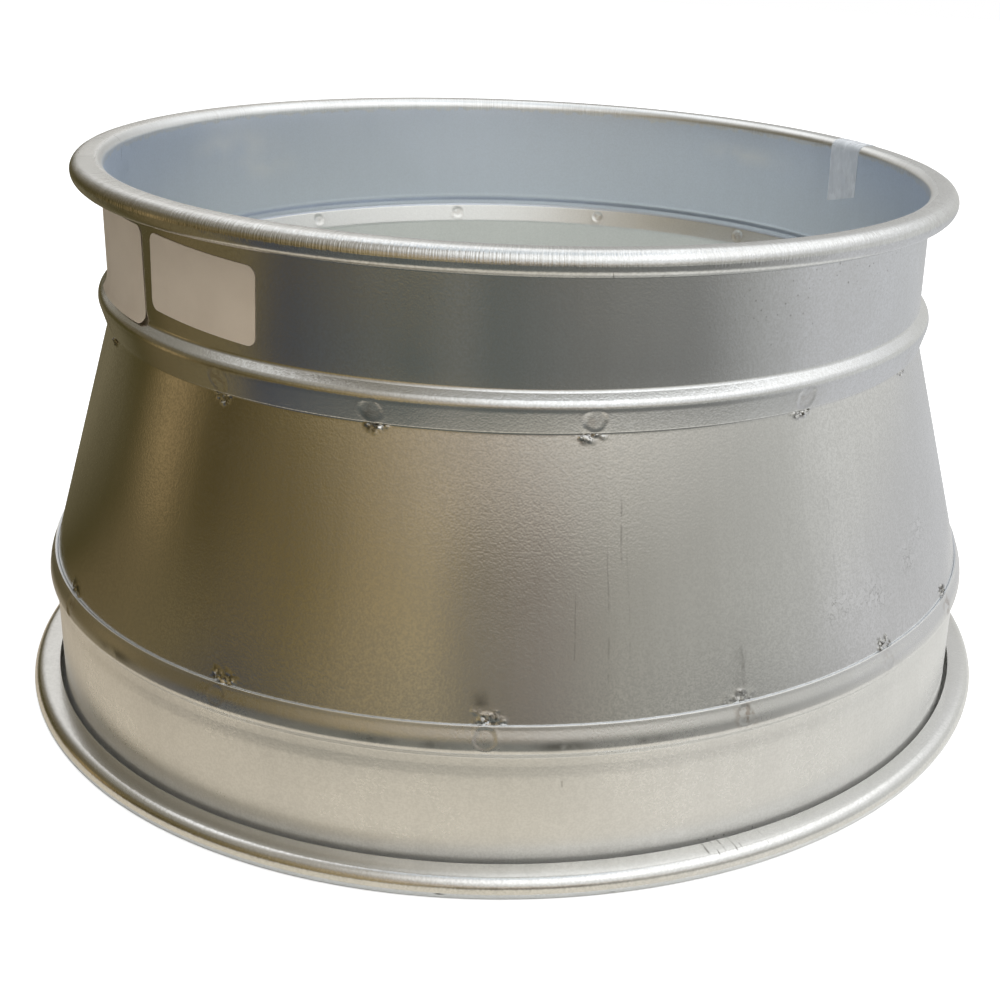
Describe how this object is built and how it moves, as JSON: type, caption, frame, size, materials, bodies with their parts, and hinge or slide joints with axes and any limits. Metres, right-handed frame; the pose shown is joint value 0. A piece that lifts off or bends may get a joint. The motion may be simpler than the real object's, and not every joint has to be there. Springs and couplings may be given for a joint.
{
  "type": "duct reducer",
  "caption": "Round galvanised sheet-steel duct reducer: a rolled-lip collar at each end, lapped and spot welded to a tapered body.",
  "frame": {"origin": "on the duct's axis, at the foot of the large lip, which it stands on", "axes": "+Z along the duct's axis from the large end to the small end, -Y towards the side that the picture shows"},
  "size_m": [0.3795, 0.3796, 0.2002],
  "materials": {
    "galvanised_sheet": "satin zinc coating with fine rolling grain",
    "label_paper": "matte coated paper",
    "clear_tape": "clear film, lightly frosted"
  },
  "bodies": {
    "root": {"small_collar": "galvanised_sheet", "cone": "galvanised_sheet", "large_collar": "galvanised_sheet", "item_label": "label_paper", "stock_label": "label_paper", "tape_strip": "clear_tape"}
  },
  "joints": []
}
